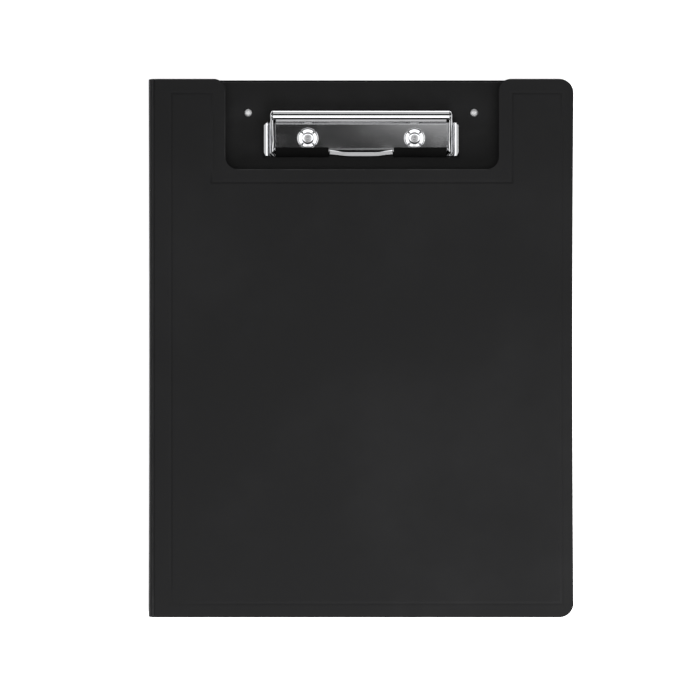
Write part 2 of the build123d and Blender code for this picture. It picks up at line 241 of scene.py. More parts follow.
def bumped(tree, shader, height, distance):
    """A bump of a real depth on the shader's normal."""
    bump = tree.nodes.new("ShaderNodeBump")
    bump.inputs["Strength"].default_value = 1.0
    bump.inputs["Distance"].default_value = distance
    tree.links.new(height, bump.inputs["Height"])
    tree.links.new(bump.outputs["Normal"], shader.inputs["Normal"])


def plastic(name, colour, rubbed, roughness, grain_scale, grain_depth, specular, rim_amount):
    """Grained black plastic with faint handling marks and rubbed rims."""
    made, tree, shader = new_material(name, specular=specular)
    rims = group_node(tree, RIMS, Amount=rim_amount).outputs["Mask"]
    marks = group_node(tree, HANDLING, Scale=PLASTIC_MARKS_SCALE).outputs["Mask"]
    wear = maths(tree, "ADD", rims, maths(tree, "MULTIPLY", marks, PLASTIC_MARKS_LIGHTEN))
    tree.links.new(mixed_colour(tree, wear, colour, rubbed), shader.inputs["Base Color"])
    rough = ranged(tree, marks, 0.0, 1.0, roughness, roughness + PLASTIC_MARKS_ROUGHEN)
    tree.links.new(rough, shader.inputs["Roughness"])
    grain = group_node(tree, GRAIN, Scale=grain_scale, Coarse=0.4).outputs["Height"]
    bumped(tree, shader, grain, grain_depth)
    return made


def plated_steel(name, colour, roughness, wave_depth):
    """Bright plating on stamped steel: not quite flat, with a few faint smears."""
    made, tree, shader = new_material(name, metallic=1.0)
    marks = group_node(tree, HANDLING, Scale=STEEL_MARKS_SCALE).outputs["Mask"]
    dulled = tuple(channel * STEEL_MARKS_DULL for channel in colour)
    tree.links.new(mixed_colour(tree, marks, colour, dulled), shader.inputs["Base Color"])
    rough = ranged(tree, marks, 0.0, 1.0, roughness, roughness * STEEL_MARKS_ROUGHEN)
    tree.links.new(rough, shader.inputs["Roughness"])
    wave = object_noise(tree, STEEL_WAVE_SCALE, 1.5, 0.4)
    bumped(tree, shader, wave, wave_depth)
    return made


def satin_metal(name, colour, roughness, grain_scale):
    """Satin metal with a fine frosted grain."""
    made, tree, shader = new_material(name, metallic=1.0)
    grain = group_node(tree, GRAIN, Scale=grain_scale, Coarse=0.6).outputs["Height"]
    frosted = tuple(channel * FROST_DULL for channel in colour)
    tree.links.new(mixed_colour(tree, grain, frosted, colour), shader.inputs["Base Color"])
    rough = ranged(tree, grain, 0.3, 1.0, roughness, roughness + FROST_ROUGHEN)
    tree.links.new(rough, shader.inputs["Roughness"])
    bumped(tree, shader, grain, FROST_DEPTH)
    return made


COVER_PLASTIC = plastic(
    "cover_plastic",
    colour=(0.0115, 0.0115, 0.0118),
    rubbed=(0.040, 0.040, 0.041),
    roughness=0.55,
    grain_scale=1500.0,
    grain_depth=0.000022,
    specular=0.07,
    rim_amount=0.4,
)
BOARD_PLASTIC = plastic(
    "board_plastic",
    colour=(0.0040, 0.0040, 0.0041),
    rubbed=(0.020, 0.020, 0.021),
    roughness=0.60,
    grain_scale=2300.0,
    grain_depth=0.000014,
    specular=0.24,
    rim_amount=0.3,
)
POCKET_FILM = plastic(
    "pocket_film",
    colour=(0.0130, 0.0130, 0.0134),
    rubbed=(0.05, 0.05, 0.052),
    roughness=0.36,
    grain_scale=700.0,
    grain_depth=0.000010,
    specular=0.4,
    rim_amount=0.4,
)
GRIP_RUBBER = plastic(
    "grip_rubber",
    colour=(0.0024, 0.0024, 0.0024),
    rubbed=(0.012, 0.012, 0.012),
    roughness=0.66,
    grain_scale=2600.0,
    grain_depth=0.000010,
    specular=0.08,
    rim_amount=0.4,
)
CLIP_CHROME = plated_steel("clip_chrome", (0.86, 0.865, 0.88), 0.035, 0.000012)
RIVET_METAL = satin_metal("rivet_metal", (0.90, 0.90, 0.91), 0.40, 2400.0)
WASHER_STEEL = satin_metal("washer_steel", (0.62, 0.62, 0.63), 0.30, 1400.0)
PIN_STEEL = plated_steel("pin_steel", (0.72, 0.72, 0.74), 0.16, 0.00001)
SPRING_STEEL = satin_metal("spring_steel", (0.42, 0.42, 0.44), 0.34, 1800.0)


# Mesh helpers


def added(name, bm):
    """A new object in the scene with the bmesh as its mesh."""
    mesh = bpy.data.meshes.new(name)
    bm.to_mesh(mesh)
    bm.free()
    made = bpy.data.objects.new(name, mesh)
    bpy.context.scene.collection.objects.link(made)
    return made


def finish_piece(name, bm, finish, body, replaced=()):
    """A piece made from a bmesh: shaded, given its material, and set riding on a body."""
    bmesh.ops.recalc_face_normals(bm, faces=bm.faces)
    piece = added(name, bm)
    piece.data.materials.append(finish)
    piece.data.shade_smooth()
    if body:
        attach(piece, body)
    if replaced:
        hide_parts(*replaced)
    return piece


def round_edges(piece, width, segments, angle):
    """A small rounding on every edge sharper than an angle."""
    bevel = piece.modifiers.new("rounding", "BEVEL")
    bevel.width = width
    bevel.segments = segments
    bevel.limit_method = "ANGLE"
    bevel.angle_limit = radians(angle)
    bevel.harden_normals = True
    bevel.use_clamp_overlap = True
    return bevel


def keep_flats_flat(piece):
    """Normals that follow the large faces, so that flat metal mirrors as a flat."""
    flats = piece.modifiers.new("flats", "WEIGHTED_NORMAL")
    flats.keep_sharp = True
    flats.weight = 100


def give_thickness(piece, thickness):
    """A wall's thickness, centred on its mesh."""
    wall = piece.modifiers.new("wall", "SOLIDIFY")
    wall.thickness = thickness
    wall.offset = 0.0
    wall.use_even_offset = True
    return wall


def settle(piece):
    """The piece's modifiers made part of its mesh."""
    bpy.context.view_layer.update()
    evaluated = piece.evaluated_get(bpy.context.evaluated_depsgraph_get())
    mesh = bpy.data.meshes.new_from_object(evaluated)
    piece.modifiers.clear()
    piece.data = mesh
    bm = bmesh.new()
    bm.from_mesh(mesh)
    bmesh.ops.recalc_face_normals(bm, faces=bm.faces)
    bm.to_mesh(mesh)
    bm.free()


def verts_in(items):
    """The vertices among the parts that an operator made."""
    return [item for item in items if isinstance(item, bmesh.types.BMVert)]


def cut(bm, place, normal, clear=False):
    """Cuts every face along a plane, and clears what lies on the normal's side if asked."""
    bmesh.ops.bisect_plane(
        bm,
        geom=bm.verts[:] + bm.edges[:] + bm.faces[:],
        dist=1e-7,
        plane_co=place,
        plane_no=normal,
        clear_outer=clear,
    )


CORNER_SEGMENTS = 14


def outline_face(bm, corners, z):
    """A flat face from (x, y, radius) corners at a height, with each corner rounded."""
    verts = [bm.verts.new((x, y, z)) for x, y, radius in corners]
    bm.faces.new(verts)
    for vert, (x, y, radius) in zip(verts, corners):
        if radius > 0:
            bmesh.ops.bevel(
                bm,
                geom=[vert],
                offset=radius,
                offset_type="OFFSET",
                segments=CORNER_SEGMENTS,
                profile=0.5,
                affect="VERTICES",
                material=-1,
            )


def plain_corners(low, high, left_radius, right_radius):
    """The corners of a rectangle, with one radius at its left and one at its right."""
    return [
        (low.x, low.y, left_radius),
        (high.x, low.y, right_radius),
        (high.x, high.y, right_radius),
        (low.x, high.y, left_radius),
    ]


def inset_steps(bm, region, steps):
    """Insets a region step by step, each by a width and a depth."""
    for width, depth in steps:
        bmesh.ops.inset_region(
            bm,
            faces=region,
            thickness=width,
            depth=depth,
            use_boundary=True,
            use_even_offset=True,
        )


def close_sheet(bm, rise):
    """Extrudes the open rim up, or down where the rise is negative, and closes the far side."""
    rim = [edge for edge in bm.edges if edge.is_boundary]
    made = bmesh.ops.extrude_edge_only(bm, edges=rim)["geom"]
    bmesh.ops.translate(bm, verts=verts_in(made), vec=(0, 0, rise))
    open_rim = [edge for edge in bm.edges if edge.is_boundary]
    bmesh.ops.contextual_create(bm, geom=open_rim)
    bmesh.ops.recalc_face_normals(bm, faces=bm.faces)


def sharp_edges(bm, sharper_than):
    """The edges between faces that meet at more than an angle."""
    limit = radians(sharper_than)
    return [edge for edge in bm.edges if edge.is_manifold and edge.calc_face_angle(0) > limit]


def bevel_edges(bm, edges, offset, segments=3):
    """Rounds edges of the mesh itself."""
    bmesh.ops.bevel(
        bm,
        geom=edges,
        offset=offset,
        offset_type="OFFSET",
        segments=segments,
        profile=0.5,
        affect="EDGES",
        material=-1,
        clamp_overlap=True,
    )


def arc(centre, radius, start, sweep, steps):
    """Points on an arc in a flat section, from a start angle over a sweep, both in degrees."""
    angles = (radians(start + sweep * step / steps) for step in range(steps + 1))
    return [(centre[0] + radius * cos(a), centre[1] + radius * sin(a)) for a in angles]


def first_row(bm, points, low, along):
    """A section's vertices at its low end, and the direction it is carried in."""
    if along == "X":
        return [bm.verts.new((low, a, b)) for a, b in points], X_AXIS
    return [bm.verts.new((a, low, b)) for a, b in points], Y_AXIS


def ribbon(bm, points, low, high, along="X", rows=1):
    """An open strip: section points carried along an axis from low to high."""
    verts, direction = first_row(bm, points, low, along)
    edges = [bm.edges.new(pair) for pair in zip(verts, verts[1:])]
    for row in range(rows):
        made = bmesh.ops.extrude_edge_only(bm, edges=edges)["geom"]
        verts = verts_in(made)
        edges = [
            item
            for item in made
            if isinstance(item, bmesh.types.BMEdge) and all(v in verts for v in item.verts)
        ]
        bmesh.ops.translate(bm, verts=verts, vec=direction * (high - low) / rows)


def prism(bm, points, low, high, along="X", rows=1):
    """A closed bar: section corners carried along an axis from low to high."""
    verts, direction = first_row(bm, points, low, along)
    face = bm.faces.new(verts)
    for row in range(rows):
        region = [face] + face.edges[:] if row else [face]
        made = bmesh.ops.extrude_face_region(bm, geom=region)["geom"]
        face = next(item for item in made if isinstance(item, bmesh.types.BMFace))
        bmesh.ops.translate(bm, verts=verts_in(made), vec=direction * (high - low) / rows)
    bmesh.ops.recalc_face_normals(bm, faces=bm.faces)


def turned(profile, centre, axis=Z_AXIS, steps=48):
    """A turned shape: (radius, height) points spun about an axis through a place."""
    bm = bmesh.new()
    side = Y_AXIS if axis == X_AXIS else X_AXIS
    verts = [bm.verts.new(centre + side * radius + axis * height) for radius, height in profile]
    edges = [bm.edges.new(pair) for pair in zip(verts, verts[1:])]
    bmesh.ops.spin(
        bm,
        geom=verts + edges,
        cent=centre,
        axis=axis,
        angle=2 * pi,
        steps=steps,
        use_merge=True,
    )
    bmesh.ops.remove_doubles(bm, verts=bm.verts, dist=1e-7)
    bmesh.ops.recalc_face_normals(bm, faces=bm.faces)
    return bm


def mirrored(bm):
    """Adds the mirror image across the folder's middle."""
    copied = bmesh.ops.duplicate(bm, geom=bm.verts[:] + bm.edges[:] + bm.faces[:])["geom"]
    faces = [item for item in copied if isinstance(item, bmesh.types.BMFace)]
    bmesh.ops.scale(bm, vec=(-1, 1, 1), verts=verts_in(copied))
    bmesh.ops.reverse_faces(bm, faces=faces)


DRILLED_SHARP = 40.0
DRILL_PAST = 1 * MM


def drill(piece, places, radius, low, high):
    """Round holes cut in a piece between two heights."""
    bm = bmesh.new()
    for x, y in places:
        made = bmesh.ops.create_cone(
            bm,
            cap_ends=True,
            segments=48,
            radius1=radius,
            radius2=radius,
            depth=high - low,
        )["verts"]
        bmesh.ops.translate(bm, verts=made, vec=(x, y, (low + high) / 2))
    cutter = added("drill", bm)
    mesh = cutter.data
    holes = piece.modifiers.new("holes", "BOOLEAN")
    holes.operation = "DIFFERENCE"
    holes.solver = "EXACT"
    holes.object = cutter
    settle(piece)
    bpy.data.objects.remove(cutter)
    bpy.data.meshes.remove(mesh)
    piece.data.shade_smooth()
    piece.data.set_sharp_from_angle(angle=radians(DRILLED_SHARP))


# Camera and lights

CAMERA_HEIGHT = 2.2
PHOTO_WIDTH = 700
SENSOR = 36.0
METRES_PER_PIXEL = 0.5979 * MM
FOLDER_CENTRE_PIXEL = (361.2, 348.1)
FRAME_CENTRE_PIXEL = 350.0
FLOOR_SIZE = 4.0
FLOOR_GAP = 0.3 * MM
FLOOR_LIGHT = 0.7

# The tent, by direction: a pair is where one brightness ends and the next begins
OPENING = (0.0, 0.058)
OVERHEAD_LIGHT = 1.6
OVERHEAD_EDGE = (0.295, 0.335)
OVERHEAD_NARROWING = 0.36
OVERHEAD_FOOT = (0.50, 0.55)
SIDE_TURN = (0.25, 0.5)
SIDE_WALL_LIGHT = 0.95
SIDE_WALL_FADE = (0.25, 0.55)
END_TURN = (-0.5, -0.25)
END_WALL_LIGHT = 0.48
GAP_LIGHT = 0.05
WALL_TOP = (0.66, 0.71)
TENT_LIGHT = 0.01
OPENING_WIDENING = 0.42
OPENING_EDGE = (0.018, 0.036)
BEHIND_EDGE = (0.022, 0.040)
GLOW_RUN = (-0.020, 0.0265)
GLOW_LIGHT = (0.006, 0.100)
CLOUD_RUN = (-0.002, 0.023)
CLOUD_FRONT = (0.0582, 0.0618)
CLOUD_LIGHT = 0.30
GLOW_FRONT = (0.0552, 0.0566)
GLOW_FRONT_LIGHT = 0.4

LAMP_PLACE = (0.30, -0.60, 0.60)
LAMP_SIZE = (0.7, 0.5)
LAMP_POWER = 14.5


def make_camera():
    """Looks straight down, at the photograph's scale at the front cover's face."""
    camera = bpy.data.cameras.new("camera")
    camera.sensor_width = SENSOR
    distance = CAMERA_HEIGHT - cover_high.z
    camera.lens = SENSOR / (PHOTO_WIDTH * METRES_PER_PIXEL) * distance
    camera.clip_start = 0.01
    holder = bpy.data.objects.new("camera", camera)
    holder.location = (
        (FRAME_CENTRE_PIXEL - FOLDER_CENTRE_PIXEL[0]) * METRES_PER_PIXEL,
        (FOLDER_CENTRE_PIXEL[1] - FRAME_CENTRE_PIXEL) * METRES_PER_PIXEL,
        CAMERA_HEIGHT,
    )
    bpy.context.scene.collection.objects.link(holder)
    bpy.context.scene.camera = holder


def make_floor():
    """A plain white table, lit a little from within as a light table is."""
    bm = bmesh.new()
    bmesh.ops.create_grid(bm, x_segments=2, y_segments=2, size=FLOOR_SIZE)
    bmesh.ops.translate(bm, verts=bm.verts, vec=(0, 0, -FLOOR_GAP))
    floor = added("floor", bm)
    made, _, shader = new_material("floor_white", specular=0.2)
    shader.inputs["Base Color"].default_value = (0.92, 0.92, 0.92, 1)
    shader.inputs["Roughness"].default_value = 0.7
    shader.inputs["Emission Color"].default_value = (1, 1, 1, 1)
    shader.inputs["Emission Strength"].default_value = FLOOR_LIGHT
    floor.data.materials.append(made)


def make_world():
    """A studio tent: bright overhead with a small dark opening for the camera, a dark band
    round it, and lower walls that are brighter at the sides than at the front and rear."""
    world = bpy.data.worlds.new("studio")
    bpy.context.scene.world = world
    world.use_nodes = True
    tree = world.node_tree
    place = tree.nodes.new("ShaderNodeTexCoord")
    split = tree.nodes.new("ShaderNodeSeparateXYZ")
    tree.links.new(place.outputs["Generated"], split.inputs["Vector"])
    x, y, z = (split.outputs[label] for label in "XYZ")
    squares = [maths(tree, "MULTIPLY", part, part) for part in (x, y)]
    across = maths(tree, "ADD", squares[0], squares[1])
    turn = maths(tree, "DIVIDE", maths(tree, "SUBTRACT", squares[0], squares[1]), across)

    narrowed = maths(tree, "MULTIPLY", squares[0], OVERHEAD_NARROWING)
    aside = maths(tree, "SQRT", maths(tree, "ADD", narrowed, squares[1]))
    overhead = ranged(tree, aside, *OVERHEAD_EDGE, OVERHEAD_LIGHT, 0.0)
    overhead = maths(tree, "MULTIPLY", overhead, ranged(tree, z, *OVERHEAD_FOOT, 0.0, 1.0))
    side_walls = ranged(tree, turn, *SIDE_TURN, 0.0, SIDE_WALL_LIGHT)
    side_walls = maths(tree, "MULTIPLY", side_walls, ranged(tree, z, *SIDE_WALL_FADE, 0.5, 1.0))
    end_walls = ranged(tree, turn, *END_TURN, END_WALL_LIGHT, 0.0)
    walls = maths(tree, "ADD", maths(tree, "ADD", side_walls, end_walls), GAP_LIGHT)
    walls = maths(tree, "MULTIPLY", walls, ranged(tree, z, *WALL_TOP, 1.0, 0.0))

    shift_x = maths(tree, "MULTIPLY", maths(tree, "SUBTRACT", x, OPENING[0]), OPENING_WIDENING)
    shift_y = maths(tree, "SUBTRACT", y, OPENING[1])
    far_x, far_y = (maths(tree, "MULTIPLY", shift, shift) for shift in (shift_x, shift_y))
    far = maths(tree, "SQRT", maths(tree, "ADD", far_x, far_y))
    round_opening = ranged(tree, far, *OPENING_EDGE, 0.0, 1.0)
    glow = ranged(tree, x, *GLOW_RUN, *GLOW_LIGHT, smooth=False)
    cloud = ranged(tree, x, *CLOUD_RUN, 0.0, CLOUD_LIGHT)
    cloud = maths(tree, "MULTIPLY", cloud, ranged(tree, y, *CLOUD_FRONT, 0.0, 1.0))
    glow = maths(tree, "ADD", glow, cloud)
    glow = maths(tree, "MULTIPLY", glow, ranged(tree, y, *GLOW_FRONT, GLOW_FRONT_LIGHT, 1.0))
    lit = maths(tree, "MULTIPLY", overhead, round_opening)
    behind = maths(tree, "MULTIPLY", glow, ranged(tree, far, *BEHIND_EDGE, 1.0, 0.0))
    total = maths(tree, "ADD", maths(tree, "ADD", lit, behind), walls)
    background = tree.nodes["Background"]
    tree.links.new(maths(tree, "ADD", total, TENT_LIGHT), background.inputs["Color"])
    background.inputs["Strength"].default_value = 1.0


def make_lamp():
    """A low softbox facing the folder from the front right, left out of reflections."""
    lamp = bpy.data.lights.new("low_softbox", "AREA")
    lamp.shape = "RECTANGLE"
    lamp.size, lamp.size_y = LAMP_SIZE
    lamp.energy = LAMP_POWER
    holder = bpy.data.objects.new("low_softbox", lamp)
    holder.location = LAMP_PLACE
    direction = -Vector(LAMP_PLACE)
    holder.rotation_euler = direction.to_track_quat("-Z", "Y").to_euler()
    holder.visible_glossy = False
    bpy.context.scene.collection.objects.link(holder)


make_camera()
make_floor()
make_world()
make_lamp()
bpy.context.scene.view_settings.view_transform = "Standard"


# Covers, spine and creases

RIM_RADIUS = 0.45 * MM
RIM_ANGLE = 50.0
RIM_BAND = 0.9 * MM
TIP_THICKNESS = 0.7 * MM
CREASE_REACH = 1.2 * MM
FORE_RADIUS = 8.5 * MM
SPINE_CORNER_RADIUS = 1.2 * MM
CUTOUT_HALF_WIDTH = 81.85 * MM
CUTOUT_CENTRE = 0.6 * MM
CUTOUT_DEPTH = 54.0 * MM
CUTOUT_FLOOR_RADIUS = 7.5 * MM
CUTOUT_MOUTH_RADIUS = 7.0 * MM
LINE_FROM_SPINE = 13.2 * MM
LINE_FROM_FORE_EDGE = 6.8 * MM
LINE_FROM_ENDS = 8.3 * MM
LINE_ROUND_CUTOUT = 7.6 * MM
LINE_HALF_WIDTH = 1.4 * MM
LINE_STEPS = (
    (0.30 * MM, -0.03 * MM),
    (0.80 * MM, -0.15 * MM),
    (0.30 * MM, -0.02 * MM),
    (0.30 * MM, 0.03 * MM),
    (0.80 * MM, 0.30 * MM),
    (0.30 * MM, 0.03 * MM),
)
FORE_DRAW_IN = 0.7 * MM
SPINE_DRAW_IN = 0.35 * MM
SPINE_FLARE = 0.45 * MM
STATIONS = 12
BOW_SAG = 1.75 * MM
BEAD_RADIUS = 0.5 * MM
SPINE_TAPER = 1.6 * MM
SPINE_TAPER_ANGLE = 15.0
BEAD_SWEEP = -255 + SPINE_TAPER_ANGLE
WEB_HALF_THICKNESS = 0.26 * MM
WEB_REACH = 1.3 * MM
WEB_LEAN = 31.0
WEB_START = 0.3 * MM
RECESS_RADIUS = 4.7 * MM
RECESS_DEPTH = 1.0 * MM
HOLE_RADIUS = 1.6 * MM


def draw_in(verts):
    """The long edges of the pressed sheet bow in a little between their corners.

    Nothing moves at the creases, so that they stay on their joints' axes."""
    for vert in verts:
        along = 1 - (vert.co.y / cover_high.y) ** 2
        right = max(0.0, vert.co.x / cover_high.x) ** 3
        left = min(1.0, max(0.0, (lower_crease.x - BEAD_RADIUS - vert.co.x) / BOW_SAG))
        vert.co.x -= FORE_DRAW_IN * along * right
        vert.co.x += (SPINE_DRAW_IN * along - SPINE_FLARE) * left


def cut_stations(bm, half_length):
    """Cuts across a sheet at even steps, so that its long edges can bow."""
    for station in range(1, STATIONS):
        cut(bm, (0, -half_length + 2 * half_length * station / STATIONS, 0), Y_AXIS)


def cover_sheet(corners, low, high, mid, panel=None):
    """One cover of the pressed sheet: its outline, its pressed line, thinned at the crease."""
    bm = bmesh.new()
    outline_face(bm, corners, high)
    inset_steps(bm, bm.faces[:], [(RIM_BAND, 0.0)])
    full_x = lower_crease.x + CREASE_REACH
    cut(bm, (full_x, 0, 0), X_AXIS)
    cut_stations(bm, cover_high.y)
    if panel:
        left, right, end, step_x, step_y = panel
        for x in (left, right, CUTOUT_CENTRE - step_x, CUTOUT_CENTRE + step_x):
            cut(bm, (x, 0, 0), X_AXIS)
        for y in (-end, end, step_y):
            cut(bm, (0, y, 0), Y_AXIS)

        def inside(face):
            x, y, z = face.calc_center_median()
            beside_cutout = abs(x - CUTOUT_CENTRE) > step_x or y < step_y
            return left < x < right and abs(y) < end and beside_cutout

        faces = [face for face in bm.faces if inside(face)]
        region = bmesh.ops.dissolve_faces(bm, faces=faces)["region"]
        inset_steps(bm, region, LINE_STEPS)
    close_sheet(bm, low - high)
    cut(bm, (full_x, 0, 0), X_AXIS)
    for vert in bm.verts:
        if vert.co.x < full_x - 0.1 * MM:
            side = 1 if vert.co.z > mid else -1
            vert.co.z = mid + side * TIP_THICKNESS / 2
    bevel_edges(bm, sharp_edges(bm, RIM_ANGLE), RIM_RADIUS)
    return bm


def make_front_cover():
    """The front cover with its cut-out and its pressed line."""
    mouth_left = CUTOUT_CENTRE - CUTOUT_HALF_WIDTH
    mouth_right = CUTOUT_CENTRE + CUTOUT_HALF_WIDTH
    floor_y = cover_high.y - CUTOUT_DEPTH
    corners = [
        (cover_low.x, cover_low.y, SPINE_CORNER_RADIUS),
        (cover_high.x, cover_low.y, FORE_RADIUS),
        (cover_high.x, cover_high.y, FORE_RADIUS),
        (mouth_right, cover_high.y, CUTOUT_MOUTH_RADIUS),
        (mouth_right, floor_y, CUTOUT_FLOOR_RADIUS),
        (mouth_left, floor_y, CUTOUT_FLOOR_RADIUS),
        (mouth_left, cover_high.y, CUTOUT_MOUTH_RADIUS),
        (cover_low.x, cover_high.y, SPINE_CORNER_RADIUS),
    ]
    panel = (
        cad_bounds[0][0] + LINE_FROM_SPINE - LINE_HALF_WIDTH,
        cover_high.x - LINE_FROM_FORE_EDGE + LINE_HALF_WIDTH,
        cover_high.y - LINE_FROM_ENDS + LINE_HALF_WIDTH,
        CUTOUT_HALF_WIDTH + LINE_ROUND_CUTOUT - LINE_HALF_WIDTH,
        floor_y - LINE_ROUND_CUTOUT + LINE_HALF_WIDTH,
    )
    bm = cover_sheet(corners, cover_low.z, cover_high.z, cover_mid, panel)
    draw_in(bm.verts)
    piece = finish_piece(
        "front_cover_sheet", bm, COVER_PLASTIC, "cover", ["front_cover"]
    )
    keep_flats_flat(piece)


def make_back_cover():
    """The back cover, with a recess and a hole under each rivet."""
    corners = plain_corners(back_low, back_high, SPINE_CORNER_RADIUS, FORE_RADIUS)
    bm = cover_sheet(corners, back_low.z, back_high.z, back_mid)
    draw_in(bm.verts)
    piece = finish_piece(
        "back_cover_sheet", bm, COVER_PLASTIC, "back", ["back_cover"]
    )
    drill(piece, rivet_places, RECESS_RADIUS, back_low.z - DRILL_PAST, back_low.z + RECESS_DEPTH)
    drill(piece, rivet_places, HOLE_RADIUS, back_low.z - DRILL_PAST, back_high.z + DRILL_PAST)
    keep_flats_flat(piece)


def spine_section():
    """The spine's section: a bowed strip, thinned at both ends to the crease beads."""
    half = (upper_crease.z - lower_crease.z) / 2
    radius = (half ** 2 + BOW_SAG ** 2) / (2 * BOW_SAG)
    opening = atan2(half, radius - BOW_SAG) * 180 / pi
    full = opening - SPINE_TAPER / radius * 180 / pi
    centre = (lower_crease.x + radius - BOW_SAG, lower_crease.z + half)
    outer = arc(centre, radius + sheet / 2, 180 + full, -2 * full, 18)
    inner = arc(centre, radius - sheet / 2, 180 - full, 2 * full, 18)
    lower = (lower_crease.x, lower_crease.z)
    upper = (upper_crease.x, upper_crease.z)
    upper_bead = arc(upper, BEAD_RADIUS, -90 - opening - SPINE_TAPER_ANGLE, BEAD_SWEEP, 10)
    lower_bead = arc(lower, BEAD_RADIUS, opening, BEAD_SWEEP, 10)
    return outer + upper_bead + inner + lower_bead


def make_spine():
    """The bowed strip between the creases."""
    bm = bmesh.new()
    prism(bm, spine_section(), back_low.y, back_high.y, along="Y", rows=STATIONS)
    draw_in(bm.verts)
    piece = finish_piece("spine_strip", bm, COVER_PLASTIC, "spine", ["spine"])
    round_edges(piece, 0.25 * MM, segments=2, angle=60)


def make_crease_web(name, crease, body_a, upward):
    """The thin web of the pressed sheet at a crease, built in place; it rides on no body, so it
    does not bend.
    """
    half = WEB_HALF_THICKNESS
    reach = WEB_REACH
    lean = radians(90 + WEB_LEAN)
    spine_side = Vector((cos(lean), 0, upward * sin(lean)))
    spine_across = Vector((-sin(lean), 0, upward * cos(lean)))
    top = Vector((0, 0, upward))
    section = [
        crease + X_AXIS * reach + top * half,
        crease + X_AXIS * WEB_START + top * half,
        crease - spine_across * half,
        crease + spine_side * reach - spine_across * half,
        crease + spine_side * reach + spine_across * half,
        crease + spine_across * half,
        crease + X_AXIS * WEB_START - top * half,
        crease + X_AXIS * reach - top * half,
    ]
    bm = bmesh.new()
    prism(bm, [(p.x, p.z) for p in section], back_low.y, back_high.y, along="Y", rows=STATIONS)
    draw_in(bm.verts)
    piece = finish_piece(name, bm, COVER_PLASTIC, None)
    start = crease + X_AXIS * reach
    end = crease + spine_side * reach
    if body_a == "spine":
        start, end = end, start
    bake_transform(piece)


make_front_cover()
make_back_cover()
make_spine()
make_crease_web("lower_crease_web", lower_crease, "back", 1)
make_crease_web("upper_crease_web", upper_crease, "spine", -1)


# Writing board and pocket

BOARD_RADIUS = 7.2 * MM
BOARD_SPINE_RADIUS = 0.8 * MM
BOARD_RIM = 0.5 * MM
POCKET_RADIUS = 3.0 * MM
POCKET_SEAM = ((1.1 * MM, 0.0), (0.4 * MM, -0.16 * MM), (0.7 * MM, 0.0), (0.4 * MM, 0.16 * MM))
THUMB_REACH = 16.0 * MM
THUMB_FLOOR_RADIUS = THUMB_REACH * 0.8
THUMB_MOUTH_RADIUS = 2.7 * MM


def make_board():
    """The stiff board, with a hole for each rivet's shank."""
    bm = bmesh.new()
    corners = plain_corners(board_low, board_high, BOARD_SPINE_RADIUS, BOARD_RADIUS)
    outline_face(bm, corners, board_high.z)
    cut_stations(bm, board_high.y)
    close_sheet(bm, board_low.z - board_high.z)
    bevel_edges(bm, sharp_edges(bm, RIM_ANGLE), BOARD_RIM, segments=4)
    draw_in([vert for vert in bm.verts if vert.co.x > 0])
    piece = finish_piece(
        "board_panel", bm, BOARD_PLASTIC, "back", ["writing_board"]
    )
    drill(piece, rivet_places, HOLE_RADIUS, board_low.z - DRILL_PAST, board_high.z + DRILL_PAST)
    keep_flats_flat(piece)


def make_pocket():
    """A film pocket with a pressed seam round its edge and a thumb cut in its mouth."""
    centre_x = (pocket_low.x + pocket_high.x) / 2
    cut_left = centre_x - THUMB_REACH
    cut_right = centre_x + THUMB_REACH
    cut_floor = pocket_high.y - THUMB_REACH
    corners = plain_corners(pocket_low, pocket_high, POCKET_RADIUS, POCKET_RADIUS)
    corners[3:3] = [
        (cut_right, pocket_high.y, THUMB_MOUTH_RADIUS),
        (cut_right, cut_floor, THUMB_FLOOR_RADIUS),
        (cut_left, cut_floor, THUMB_FLOOR_RADIUS),
        (cut_left, pocket_high.y, THUMB_MOUTH_RADIUS),
    ]
    bm = bmesh.new()
    outline_face(bm, corners, pocket_low.z)
    bmesh.ops.reverse_faces(bm, faces=bm.faces)
    bm.normal_update()
    inset_steps(bm, bm.faces[:], POCKET_SEAM)
    close_sheet(bm, pocket_high.z - pocket_low.z)
    piece = finish_piece(
        "pocket_film", bm, POCKET_FILM, "cover", ["inner_pocket"]
    )
    keep_flats_flat(piece)


make_board()
make_pocket()


# Clip base

STEEL = 1.0 * MM
BARREL_RADIUS = 4.15 * MM
BARREL_HALF_LENGTH = 52.9 * MM
DECK_HALF_WIDTH = 51.6 * MM
DECK_HEIGHT = 2.2 * MM
DECK_FRONT_REACH = 19.6 * MM
DECK_REAR_REACH = 3.2 * MM
SLOPE_RUN = 1.8 * MM
DECK_BEND = 0.25 * MM
SKIRT_STOP = 0.9 * MM
FOOT_FRONT_REACH = 23.2 * MM
EAR_REAR_REACH = 3.25 * MM
EAR_SLANT = (1.11 * MM, 0.81 * MM)
EAR_LIP = (0.70 * MM, 0.06 * MM)
EAR_BEND = 0.22 * MM
EDGE_ROUND = 0.14 * MM
DISH_RADIUS = 5.8 * MM
DISH_FLOOR_RADIUS = 3.35 * MM
NOTCH_DEPTH = 0.45 * MM

deck_top = board_top + DECK_HEIGHT
deck_front = pivot.y - DECK_FRONT_REACH
deck_rear = pivot.y - DECK_REAR_REACH
foot_mid = board_top + STEEL / 2


